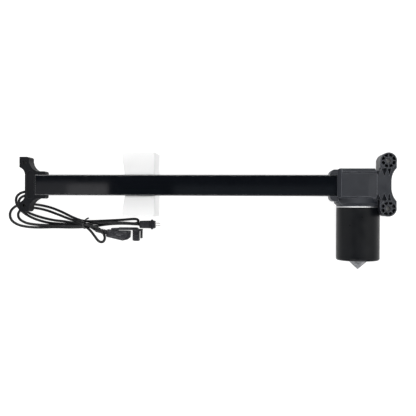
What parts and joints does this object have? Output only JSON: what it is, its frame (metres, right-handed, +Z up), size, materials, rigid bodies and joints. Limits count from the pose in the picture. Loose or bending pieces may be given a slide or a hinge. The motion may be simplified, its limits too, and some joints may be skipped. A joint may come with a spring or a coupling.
{
  "type": "linear actuator",
  "caption": "Rail-type electric linear actuator: motor, worm gearbox and lead screw drive a white cross slider along a channel rail, with two tied leads.",
  "frame": {"origin": "under the middle of the bounding box, on the floor the actuator lies on", "axes": "+X along the rail towards the gearbox, +Y from the motor's end towards the rail, +Z up, out of the rail's front"},
  "size_m": [0.5922, 0.1719, 0.071],
  "materials": {
    "rail_paint": "satin dark grey paint",
    "bracket_plastic": "matt black moulding",
    "zinc_steel": "satin",
    "housing_plastic": "fine-grained satin moulding",
    "screw_steel": "rolled, lightly oiled",
    "bearing_steel": "ground",
    "bronze": "satin",
    "wheel_plastic": "natural",
    "plate_steel": "satin",
    "motor_paint": "gloss black paint",
    "cap_silver": "bright, faceted",
    "ferrite": "matt",
    "phenolic": "matt",
    "graphite": "matt",
    "core_steel": "satin",
    "copper": "satin",
    "slider_plastic": "satin white moulding",
    "nut_plastic": "natural",
    "tube_steel": "drawn",
    "switch_plastic": "satin",
    "plunger_plastic": "satin",
    "harness_pvc": "satin",
    "cable_rubber": "satin black",
    "tie_nylon": "satin black",
    "plug_plastic": "satin black",
    "contact_plate": "bright"
  },
  "bodies": {
    "housing": {"rail": "rail_paint", "end_bracket": "bracket_plastic", "bracket_screws": "zinc_steel", "screw_end_bush": "bronze", "screw_front_bush": "bronze", "gearbox_front_shell": "housing_plastic", "gearbox_rear_shell": "housing_plastic", "housing_screws": "zinc_steel", "bearing_outer_race": "bearing_steel", "bearing_balls": "bearing_steel", "motor_flange_plate": "plate_steel", "motor_can": "motor_paint", "motor_end_cap": "cap_silver", "motor_magnets": "ferrite", "brush_plate": "phenolic", "motor_brushes": "graphite", "motor_screws": "zinc_steel", "motor_front_bearing": "bearing_steel", "motor_rear_bush": "bronze", "worm_end_bush": "bronze", "limit_switch_left": "switch_plastic", "limit_switch_right": "switch_plastic", "inner_harness": "harness_pvc", "cable_grommet": "cable_rubber", "plug_cord": "cable_rubber", "connector_cord": "cable_rubber", "cable_tie": "tie_nylon", "plug_body": "plug_plastic", "plug_pins": "contact_plate", "connector_strain_relief": "plug_plastic", "connector_shell": "plug_plastic", "connector_contacts": "contact_plate", "connector_lock_clip": "plug_plastic"},
    "carriage": {"slider_block": "slider_plastic", "guide_pads": "nut_plastic", "drive_nut": "nut_plastic", "nut_screws": "zinc_steel", "cross_tube": "tube_steel"},
    "screw": {"lead_screw": "screw_steel", "worm_wheel": "wheel_plastic", "thrust_collar": "zinc_steel", "bearing_spacer": "zinc_steel", "bearing_inner_race": "bearing_steel", "lock_nut": "zinc_steel"},
    "rotor": {"worm_shaft": "screw_steel", "armature_core": "core_steel", "armature_windings": "copper", "commutator": "copper"},
    "plunger_left": {"switch_plunger_left": "plunger_plastic"},
    "plunger_right": {"switch_plunger_right": "plunger_plastic"}
  },
  "joints": [
    {"name": "carriage_slide", "type": "slide", "parent": "housing", "child": "carriage", "axis": [1, 0, 0], "range_m": [-0.078, 0.24]},
    {"name": "screw_spin", "type": "hinge", "parent": "housing", "child": "screw", "pos_m": [0, 0.0375, 0.0515], "axis": [1, 0, 0], "range_deg": [-14460, 4740]},
    {"name": "motor_spin", "type": "hinge", "parent": "housing", "child": "rotor", "pos_m": [0.2272, 0, 0.0315], "axis": [0, 1, 0], "range_deg": [-140900, 432500]},
    {"name": "plunger_left_press", "type": "slide", "parent": "housing", "child": "plunger_left", "axis": [-1, 0, 0], "range_m": [0, 0.0008], "stiffness_N_per_m": 300},
    {"name": "plunger_right_press", "type": "slide", "parent": "housing", "child": "plunger_right", "axis": [1, 0, 0], "range_m": [0, 0.0008], "stiffness_N_per_m": 300}
  ],
  "couplings": [
    {"joint": "screw_spin", "follows": "carriage_slide", "rad_per_m": -1047.2},
    {"joint": "motor_spin", "follows": "carriage_slide", "rad_per_m": 31416}
  ]
}
